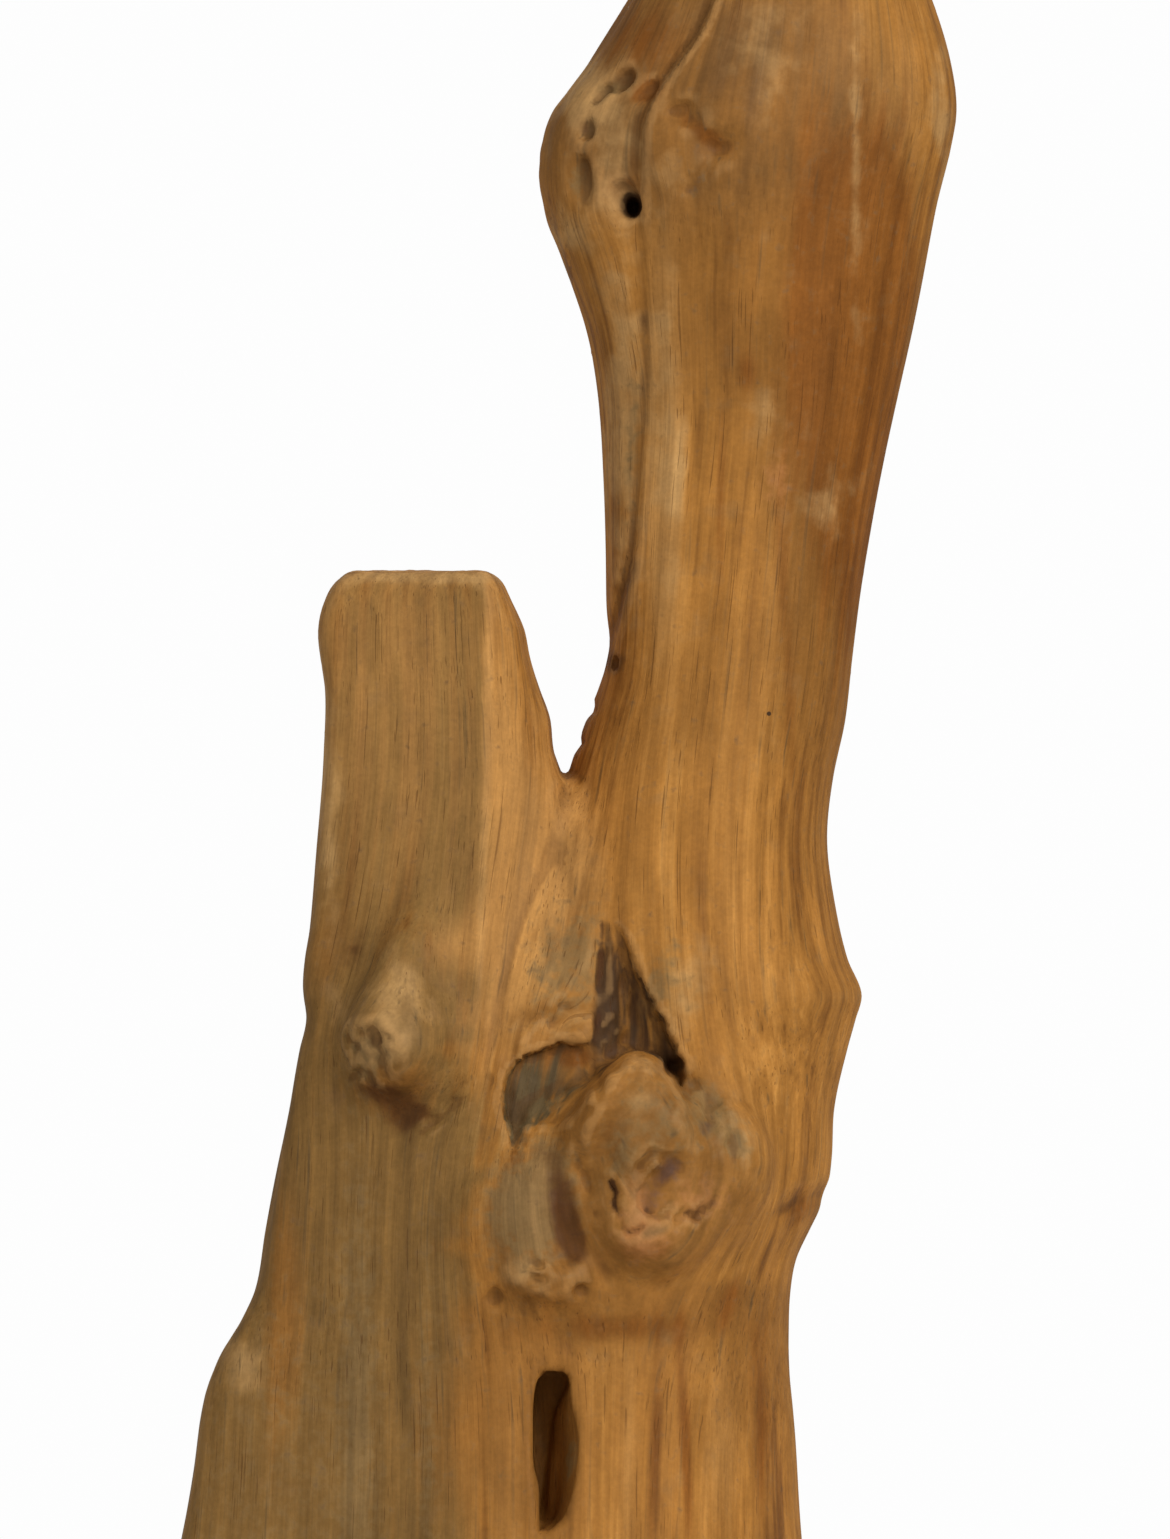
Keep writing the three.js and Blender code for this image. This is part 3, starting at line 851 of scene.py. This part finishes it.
def patches(points, sunk):
    """Each kind of weathering's amount at points, painted shade and painted highlights among them: soft,
    turned patches on the front and the back, added up."""
    x, y, z = points.T
    amounts = {kind: np.zeros(len(x)) for kind in PATCHES}
    for fade, table in ((PATCH_FADE, PATCHES), (-PATCH_FADE, BACK_PATCHES)):
        side = step(*fade, y)
        for kind, spots in table.items():
            for mx, mz, wide, tall, strength, *turn in spots:
                angle = np.radians(sum(turn))
                cos, sin = np.cos(angle), np.sin(angle)
                dx, dz = x - mx, z - mz
                away = ((dx * cos - dz * sin) / wide) ** 2 + ((dz * cos + dx * sin) / tall) ** 2
                amounts[kind] += strength * np.exp(-away) * side
    in_crown = inside(CROWN, CHAR_EDGES, x, z) * step(*CHAR_DEPTH, sunk)
    amounts["ash"] *= step(*HOLLOW_DEPTH, sunk)
    amounts["char_and_shade"] *= np.maximum(step(*HOLLOW_DEPTH, sunk), in_crown)
    return {kind: np.clip(amount, 0, 1) for kind, amount in amounts.items()}


def shaded_olive_side(points):
    """How olive and darkened the wood is: the side to the left of the crease, partly olive-grey wood and
    partly painted shade of that side turned from the light, with a wandering border.
    """
    x, y, z = points.T
    soft = line(OLIVE_BORDER, z)
    border = line(LIMB_CREASE, z) + soft * bumps(OLIVE_WANDER, y, z, x)
    more = OLIVE_MORE * np.exp(-(((x - border) / OLIVE_MORE_WIDE) ** 2)) * step(*OLIVE_MORE_FROM, z)
    return step(soft, -soft, x - border) * step(*OLIVE_FADE, y) * line(OLIVE, z) * (1 + more)


# The sawn ends: their heights with how near them a point has to lie, and how straight up or down they face
SAWN_ENDS = ((0, 3), (LIMB["top"], 8), (STEM["top"], 10))
SAWN_FACING = (0.86, 0.97)


def sawn_face(points, out):
    """Where the surface is a sawn end, facing straight up or down."""
    ends = np.any([np.abs(points[:, 2] - height) < near for height, near in SAWN_ENDS], axis=0)
    return step(*SAWN_FACING, np.abs(out[:, 2])) * ends


# The pith of the limb and of the stem, across, for the rings of the sawn ends
PITHS = (-66.0, 118.0)


def from_pith(points):
    """How far points lie from the nearer pith, across and deep."""
    x, y, _ = points.T
    return np.min([np.hypot(x - pith, y) for pith in PITHS], axis=0)


def make_mesh(name, points, quads, attributes):
    """A mesh object of points in millimetres and quads, with smooth shading and point attributes."""
    mesh = bpy.data.meshes.new(name)
    mesh.vertices.add(len(points))
    mesh.vertices.foreach_set("co", (points * MM).astype(np.float32).ravel())
    mesh.loops.add(quads.size)
    mesh.loops.foreach_set("vertex_index", quads.astype(np.int32).ravel())
    mesh.polygons.add(len(quads))
    mesh.polygons.foreach_set("loop_start", np.arange(0, quads.size, 4, dtype=np.int32))
    mesh.update(calc_edges=True)
    mesh.validate()
    mesh.polygons.foreach_set("use_smooth", np.ones(len(mesh.polygons), bool))
    for label, values in attributes.items():
        kind, field = ("FLOAT_VECTOR", "vector") if values.ndim == 2 else ("FLOAT", "value")
        mesh.attributes.new(label, kind, "POINT").data.foreach_set(field, values.astype(np.float32).ravel())
    thing = bpy.data.objects.new(name, mesh)
    bpy.context.scene.collection.objects.link(thing)
    return thing


# Where the smooth back starts, and the share of all faces that is left once its faces are thinned out
BACK_STARTS = 12.0
KEPT_FACES = 0.74


def thin_out(thing, corners, kept):
    """Fewer faces round the corners given, by collapsing the edges that change the shape least."""
    thing.vertex_groups.new(name="thinned").add(corners.tolist(), 1.0, "REPLACE")
    modifier = thing.modifiers.new("thinned", "DECIMATE")
    modifier.vertex_group = "thinned"
    modifier.ratio = kept
    graph = bpy.context.evaluated_depsgraph_get()
    thing.data = bpy.data.meshes.new_from_object(thing.evaluated_get(graph))
    thing.modifiers.clear()


def make_wood():
    """The driftwood's skin with its fibre directions and weathering, painted shade and painted highlights
    among it.
    """
    low, high = (np.array(corner) / MM for corner in CAD_BOX)
    xs = graded(low[0] - MARGIN, high[0] + MARGIN, STEPS_ACROSS, FINE_ACROSS)
    ys = np.arange(low[1] - MARGIN, high[1] + MARGIN, STEP_DEEP)
    zs = graded(low[2] - MARGIN, high[2] + MARGIN, STEPS_UP, FINE_UP)
    points, quads = skin(xs, ys, zs)
    points = settle(points)
    points[:, 2] = np.maximum(points[:, 2], 0)
    _, out = outward(points)
    sunk = -with_knots(growths(*points.T), *points.T)
    fibre = fibres(points)
    amounts = patches(points, sunk)
    # The olive side: olive-grey wood and painted shade of the side turned from the light
    amounts["olive_and_shade"] = shaded_olive_side(points)
    amounts["edge"] = bend(points) * step(0, SLIT_RIM, slit(*points.T))
    amounts["sawn"] = sawn_face(points, out)
    amounts["ring"] = from_pith(points)
    amounts["fibre"] = fibre
    points = points + out * relief(points, fibre, amounts.pop("rough"), amounts["burl"], sunk)[:, None]
    amounts["crack"] = np.clip(strokes(DARK_STROKES, *points.T) / CRACK_DEPTH, 0, 1)
    skin_piece = make_mesh("driftwood_skin", points, quads, amounts)
    thin_out(skin_piece, np.flatnonzero(points[:, 1] > BACK_STARTS), KEPT_FACES)
    return skin_piece


# Finishes


def colour(red, green, blue):
    """A screen colour, 0 to 255, as linear light."""
    screen = np.array([red, green, blue]) / 255
    light = np.where(screen <= 0.04045, screen / 12.92, ((screen + 0.055) / 1.055) ** 2.4)
    return (*light, 1)


WOOD = colour(162, 109, 47)
GOLD = colour(178, 125, 60)
UMBER = colour(134, 85, 34)
WORN_EDGE = colour(194, 148, 92)
KNOT = colour(115, 77, 35)
SAWN = colour(186, 140, 86)
SAWN_RING = colour(150, 104, 56)
# Tints in the order they lie on each other: colour, the pattern that makes its edge ragged, how ragged,
# strength
TINTS = {
    "straw": (colour(178, 129, 70), "band", 1.2, 0.8),
    "taupe": (colour(117, 83, 46), "band", 1.0, 0.85),
    # Olive: olive-grey wood and painted shade of the side turned from the light
    "olive_and_shade": (colour(120, 90, 47), "band", 1.4, 0.88),
    "brown": (colour(134, 89, 38), "band", 1.3, 0.8),
    "red": (colour(117, 67, 20), "band", 1.4, 0.8),
    "pale": (colour(187, 146, 92), "blotch", 1.4, 0.7),
    "pink": (colour(168, 112, 66), "speck", 1.0, 0.7),
    "grey": (colour(127, 100, 61), "speck", 1.6, 0.8),
    "plum": (colour(84, 62, 54), "speck", 1.0, 0.85),
    # Dark: painted shade in its patches and creases, and the colour of the dark checks
    "dark": (colour(84, 50, 20), "blotch", 1.4, 0.9),
    "ash": (colour(86, 74, 50), "grain", 1.8, 0.9),
    # Char: dark wood and painted shade in the hollows, and painted shade in the insect hole
    "char_and_shade": (colour(66, 46, 28), "grain", 1.6, 0.95),
    "crack": (colour(66, 40, 22), "speck", 1.2, 0.85),
}
# Streaks along the fibres
STREAK_INPUTS = ("Width", "Length", "Shift", "Detail")
STREAKS = {
    "broad": (30, 420, 0.0, 3.0),
    "band": (9, 300, 3.0, 4.0),
    "grain": (3.2, 150, 6.0, 2.0),
    "fine": (1.5, 60, 9.0, 2.0),
    "mottle": (12, 40, 21.0, 5.0),
    "check": (0.9, 28, 12.0, 1.0),
    "checked": (14, 80, 15.0, 3.0),
    "long_check": (1.4, 120, 24.0, 1.0),
}
# Spots: how many to a metre, detail; and those by which the streaks sway, and how far they sway
SPOTS = {"cloud": (26.0, 5.0), "blotch": (62.0, 4.0), "speck": (190.0, 3.0), "grit": (520.0, 2.0)}
SWAY_SPOTS = (8.0, 1.0)
SWAY = (5.0, 5.0, 0.0)
# Tone: the share of each pattern, the share and shift of clouds on knots, and where umber turns to wood and
# wood to gold
TONE = {"broad": 0.34, "band": 0.34, "grain": 0.16, "mottle": 0.16}
KNOT_TONE = (0.5, 0.25)
TO_WOOD = (0.4, 0.5)
TO_GOLD = (0.5, 0.63)
KNOT_RAGGED = 0.8
KNOT_STRENGTH = 0.6
STAIN_EDGE = (0.1, 0.85)
# Where the streaks of checks turn dark, and how dark and deep checks are
CHECKS = {"check": (0.64, 0.7), "checked": (0.45, 0.57), "long_check": (0.68, 0.74)}
CHECK_DARK = 0.5
CHECK_DEEP = 0.5
# How sharply an edge bends that is worn pale, or a crease that is darkened with painted shade, and how strong
# that is
BENT = (0.3, 1.0)
EDGE_PALE = 0.22
CREASE_SHADE = 0.4
# Rings of the sawn ends: how close they lie, how far they sway, strength
RINGS = 1.5
RINGS_SWAY = 9.0
SAWN_STRENGTH = 0.75
# How far each pattern lightens and darkens the wood, and the range of a pattern
SHADES = {"fine": 0.05, "grain": 0.07, "band": 0.17, "mottle": 0.1, "cloud": 0.06, "speck": 0.05,
          "grit": 0.045}
RANGE = (0.3, 0.7)
# The insect hole, painted shade of a hole that the mesh does not have: across, up, radius, and the share of
# it that is fully dark
INSECT_HOLE = (108, 502.5)
INSECT_HOLE_RADIUS = 1.3
INSECT_HOLE_DARK = 0.7
ROUGHNESS = (0.55, 0.7)
GLOSS = 0.1
# Height of the grain: the share of each pattern, of blotches on knots and of specks, strength, metres
HEIGHT = {"grain": 0.4, "fine": 0.35}
KNOT_HEIGHT = 0.6
SPECK_HEIGHT = 0.25
BUMP = {"Strength": 0.5, "Distance": 0.0012}


class Nodes:
    """Short hand for building a node tree."""

    def __init__(self, tree):
        self.tree = tree

    def add(self, kind, inputs=None, **settings):
        node = self.tree.nodes.new(kind)
        for name, value in settings.items():
            setattr(node, name, value)
        for name, value in (inputs or {}).items():
            self.put(node.inputs[name], value)
        return node

    def put(self, socket, value):
        if isinstance(value, bpy.types.NodeSocket):
            self.tree.links.new(value, socket)
        else:
            socket.default_value = value

    def math(self, operation, a, b=0.0, c=0.0):
        return self.add("ShaderNodeMath", {0: a, 1: b, 2: c}, operation=operation).outputs[0]

    def weighted(self, values, shares):
        total = 0.0
        for name, share in shares.items():
            total = self.math("MULTIPLY_ADD", values[name], share, total)
        return total

    def vector(self, operation, a, b):
        return self.add("ShaderNodeVectorMath", {0: a, 1: b}, operation=operation).outputs[0]

    def length(self, a):
        return self.add("ShaderNodeVectorMath", {0: a}, operation="LENGTH").outputs["Value"]

    def blend(self, share, a, b, kind="MIX"):
        node = self.add("ShaderNodeMix", data_type="RGBA", blend_type=kind)
        for index, value in ((0, share), (6, a), (7, b)):
            self.put(node.inputs[index], value)
        return node.outputs[2]

    def spread(self, value, low, high, to_low=0.0, to_high=1.0):
        return self.add(
            "ShaderNodeMapRange",
            {"Value": value, "From Min": low, "From Max": high, "To Min": to_low, "To Max": to_high},
            interpolation_type="SMOOTHSTEP",
        ).outputs[0]

    def attribute(self, name, output="Fac"):
        return self.add("ShaderNodeAttribute", attribute_name=name).outputs[output]

    def placed(self, tree, **inputs):
        node = self.add("ShaderNodeGroup", node_tree=tree)
        for label, value in inputs.items():
            self.put(node.inputs[label], value)
        return node.outputs[0]


def group(name, inputs, output):
    """An empty shader node group with named sockets: its tree, its nodes, its inputs and its output."""
    tree = bpy.data.node_groups.new(name, "ShaderNodeTree")
    for label in inputs:
        kind = "NodeSocketVector" if label == "Fibre" else "NodeSocketFloat"
        tree.interface.new_socket(label, in_out="INPUT", socket_type=kind)
    tree.interface.new_socket(output, in_out="OUTPUT", socket_type="NodeSocketFloat")
    nodes = Nodes(tree)
    return tree, nodes, nodes.add("NodeGroupInput").outputs, nodes.add("NodeGroupOutput").inputs[output]


def streaks_group():
    """Streaks along the fibres: noise on the fibre place divided by the streaks' width and length."""
    tree, n, given, made = group("streaks", ("Fibre", *STREAK_INPUTS), "Value")
    size = {"X": given["Width"], "Y": given["Width"], "Z": given["Length"]}
    scaled = n.vector("DIVIDE", given["Fibre"], n.add("ShaderNodeCombineXYZ", size).outputs[0])
    inputs = {"Vector": scaled, "W": given["Shift"], "Scale": 1.0, "Detail": given["Detail"]}
    n.put(made, n.add("ShaderNodeTexNoise", inputs, noise_dimensions="4D").outputs[0])
    return tree


def stain_group():
    """A stain with a ragged edge: its amount is roughened by a pattern, then sharpened."""
    tree, n, given, made = group("stain", ("Amount", "Pattern", "Ragged"), "Mask")
    rough = n.math("MULTIPLY", n.math("SUBTRACT", given["Pattern"], 0.5), given["Ragged"])
    n.put(made, n.spread(n.math("ADD", given["Amount"], rough), *STAIN_EDGE))
    return tree


def new_material(name):
    """A material: itself, its nodes and its shader."""
    material = bpy.data.materials.new(name)
    material.use_nodes = True
    return material, Nodes(material.node_tree), material.node_tree.nodes["Principled BSDF"]


def wood_finish():
    """Weathered wood: streaked browns along the fibres, blotched on the knots, stained by each kind of
    weathering and by painted shade and painted highlights, with dark checks, worn edges, painted shade in its
    creases and its insect hole, and rings on its sawn ends."""
    material, n, shader = new_material(FINISH)
    place = n.add("ShaderNodeTexCoord").outputs["Object"]
    streaks_tree, stain_tree = streaks_group(), stain_group()

    def spots(scale, detail):
        return n.add("ShaderNodeTexNoise", {"Vector": place, "Scale": scale, "Detail": detail})

    def stain(kind, pattern, ragged):
        return n.placed(stain_tree, Amount=n.attribute(kind), Pattern=made[pattern], Ragged=ragged)

    sway = n.vector("SUBTRACT", spots(*SWAY_SPOTS).outputs[1], (0.5, 0.5, 0.5))
    fibre = n.vector("ADD", n.attribute("fibre", "Vector"), n.vector("MULTIPLY", sway, SWAY))
    made = {name: spots(*row).outputs[0] for name, row in SPOTS.items()}
    for name, row in STREAKS.items():
        made[name] = n.placed(streaks_tree, Fibre=fibre, **dict(zip(STREAK_INPUTS, row)))
    burl = stain("burl", "cloud", KNOT_RAGGED)
    straight = n.math("SUBTRACT", 1.0, burl)

    tone = n.math("MULTIPLY", n.weighted(made, TONE), straight)
    tone = n.math("MULTIPLY_ADD", n.math("MULTIPLY_ADD", made["cloud"], *KNOT_TONE), burl, tone)
    wood = n.blend(n.spread(tone, *TO_WOOD), UMBER, WOOD)
    wood = n.blend(n.spread(tone, *TO_GOLD), wood, GOLD)
    wood = n.blend(n.math("MULTIPLY", burl, KNOT_STRENGTH), wood, KNOT)
    # Tints: stains, with painted shade and painted highlights among their patches, and the olive side partly
    # painted shade
    for kind, (tint, pattern, ragged, strength) in TINTS.items():
        wood = n.blend(n.math("MULTIPLY", stain(kind, pattern, ragged), strength), wood, tint)

    short, where, long = (n.spread(made[name], *dark) for name, dark in CHECKS.items())
    smooth = n.math("MAXIMUM", n.math("SUBTRACT", straight, n.attribute("taupe")), 0.0)
    marks = n.math("MULTIPLY", n.math("MAXIMUM", n.math("MULTIPLY", short, where), long), smooth)
    wood = n.blend(n.math("MULTIPLY", marks, CHECK_DARK), wood, TINTS["dark"][0])

    edge = n.attribute("edge")
    wood = n.blend(n.spread(edge, *BENT, 0.0, EDGE_PALE), wood, WORN_EDGE)
    # Creases: painted shade, darker where the surface bends in
    wood = n.blend(n.spread(edge, -BENT[0], -BENT[1], 0.0, CREASE_SHADE), wood, TINTS["dark"][0])
    rings = n.math("MULTIPLY_ADD", n.attribute("ring"), RINGS, n.math("MULTIPLY", made["cloud"], RINGS_SWAY))
    end_grain = n.blend(n.spread(n.math("SINE", rings), -1.0, 1.0), SAWN, SAWN_RING)
    wood = n.blend(n.math("MULTIPLY", n.attribute("sawn"), SAWN_STRENGTH), wood, end_grain)

    shade = 1.0
    for name, most in SHADES.items():
        shade = n.math("MULTIPLY", shade, n.spread(made[name], *RANGE, 1 - most, 1 + most))
    grey = n.add("ShaderNodeCombineColor", {0: shade, 1: shade, 2: shade}).outputs[0]
    wood = n.blend(1.0, wood, grey, "MULTIPLY")

    # Insect hole: painted shade, dark on the front only
    middle = (INSECT_HOLE[0] * MM, 0, INSECT_HOLE[1] * MM)
    far = n.length(n.vector("MULTIPLY", n.vector("SUBTRACT", place, middle), (1, 0, 1)))
    hole = n.spread(far, INSECT_HOLE_RADIUS * MM, INSECT_HOLE_DARK * INSECT_HOLE_RADIUS * MM)
    on_front = n.math("LESS_THAN", n.add("ShaderNodeSeparateXYZ", {0: place}).outputs["Y"], 0.0)
    wood = n.blend(n.math("MULTIPLY", hole, on_front), wood, TINTS["char_and_shade"][0])
    n.put(shader.inputs["Base Color"], wood)
    n.put(shader.inputs["Roughness"], n.spread(made["band"], *RANGE, *ROUGHNESS))
    shader.inputs["Specular IOR Level"].default_value = GLOSS

    height = n.math("MULTIPLY", n.weighted(made, HEIGHT), straight)
    height = n.math("MULTIPLY_ADD", n.math("MULTIPLY", made["blotch"], KNOT_HEIGHT), burl, height)
    height = n.math("MULTIPLY_ADD", marks, -CHECK_DEEP, height)
    height = n.math("MULTIPLY_ADD", made["speck"], SPECK_HEIGHT, height)
    n.put(shader.inputs["Normal"], n.add("ShaderNodeBump", {"Height": height, **BUMP}).outputs[0])
    return material


def floor_finish():
    """Pale floor that fades out to nothing away from its middle."""
    material, n, shader = new_material("pale_floor")
    far = n.length(n.add("ShaderNodeTexCoord").outputs["Object"])
    n.put(shader.inputs["Alpha"], n.spread(far, *FLOOR_FADE, 1.0, 0.0))
    shader.inputs["Base Color"].default_value = FLOOR_TINT
    shader.inputs["Roughness"].default_value = FLOOR_ROUGHNESS
    shader.inputs["Specular IOR Level"].default_value = 0.0
    return material


# The floor, in millimetres, and how far out it fades, in metres
FLOOR_RADIUS = 820.0
FLOOR_EYE = 0.002
FLOOR_DROP = 0.2
FLOOR_SPOKES = 96
FLOOR_RINGS = 8
FLOOR_FADE = (0.45, 0.8)
FLOOR_TINT = colour(238, 236, 232)
FLOOR_ROUGHNESS = 0.9


def make_floor():
    """A round floor: rings of points about the origin, joined by quads."""
    turn = np.linspace(0, 2 * np.pi, FLOOR_SPOKES, endpoint=False)
    out = FLOOR_RADIUS * np.linspace(FLOOR_EYE, 1, FLOOR_RINGS)[:, None]
    places = (out * np.cos(turn), out * np.sin(turn), 0 * out * turn - FLOOR_DROP)
    points = np.stack(places, 2).reshape(-1, 3)
    ring, spoke = np.meshgrid(np.arange(FLOOR_RINGS - 1), np.arange(FLOOR_SPOKES), indexing="ij")
    after = (spoke + 1) % FLOOR_SPOKES
    inner, outer = ring * FLOOR_SPOKES, (ring + 1) * FLOOR_SPOKES
    corners = (inner + spoke, outer + spoke, outer + after, inner + after)
    floor = make_mesh("floor", points, np.stack(corners, 2).reshape(-1, 4), {})
    floor.data.materials.append(floor_finish())


# Light and camera: the frame in millimetres, the lights in metres and watts

FRAME_MIDDLE = (16.5, 474.75)
FRAME_HEIGHT = 769.5
CAMERA_AWAY = 12000.0
SENSOR = 36.0
SURROUND_SEEN = 0.985
SURROUND_SHINING = 0.34
# Lights: place, aim, size, power, and whether they show as a gleam on the wood
LIGHTS = {
    "key": ((1.5, -2.25, 1.8), (0.05, 0, 0.5), 1.4, 74, True),
    "fill": ((-1.8, -1.8, 0.9), (0, 0, 0.5), 1.6, 13, True),
    "back": ((-0.6, 2.6, 1.5), (0, 0, 0.45), 1.6, 40, False),
}


def make_camera():
    """A long lens level with the middle of the picture, looking along +Y."""
    data = bpy.data.cameras.new("camera")
    data.sensor_width = SENSOR
    data.lens = SENSOR * CAMERA_AWAY / FRAME_HEIGHT
    camera = bpy.data.objects.new("camera", data)
    camera.location = (FRAME_MIDDLE[0] * MM, -CAMERA_AWAY * MM, FRAME_MIDDLE[1] * MM)
    camera.rotation_euler = (np.pi / 2, 0, 0)
    bpy.context.scene.collection.objects.link(camera)
    bpy.context.scene.camera = camera


def make_light(name, place, aim, size, power, gleams):
    """A square soft light at a place, aimed at a point."""
    data = bpy.data.lights.new(name, "AREA")
    data.size = size
    data.energy = power
    light = bpy.data.objects.new(name, data)
    light.location = place
    light.rotation_euler = (Vector(aim) - Vector(place)).to_track_quat("-Z", "Y").to_euler()
    light.visible_glossy = gleams
    bpy.context.scene.collection.objects.link(light)


def make_world():
    """An even white surround: seen at one strength, lighting the wood at another."""
    world = bpy.data.worlds.new("surround")
    world.use_nodes = True
    n = Nodes(world.node_tree)
    background = world.node_tree.nodes["Background"]
    is_seen = n.add("ShaderNodeLightPath").outputs["Is Camera Ray"]
    strength = n.math("MULTIPLY_ADD", is_seen, SURROUND_SEEN - SURROUND_SHINING, SURROUND_SHINING)
    background.inputs["Color"].default_value = (1, 1, 1, 1)
    n.put(background.inputs["Strength"], strength)
    bpy.context.scene.world = world


wood = make_wood()
wood.data.materials.append(wood_finish())
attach(wood, "root")
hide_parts(NODE)

make_floor()
make_camera()
make_world()
for name, row in LIGHTS.items():
    make_light(name, *row)
bpy.context.scene.view_settings.view_transform = "Standard"
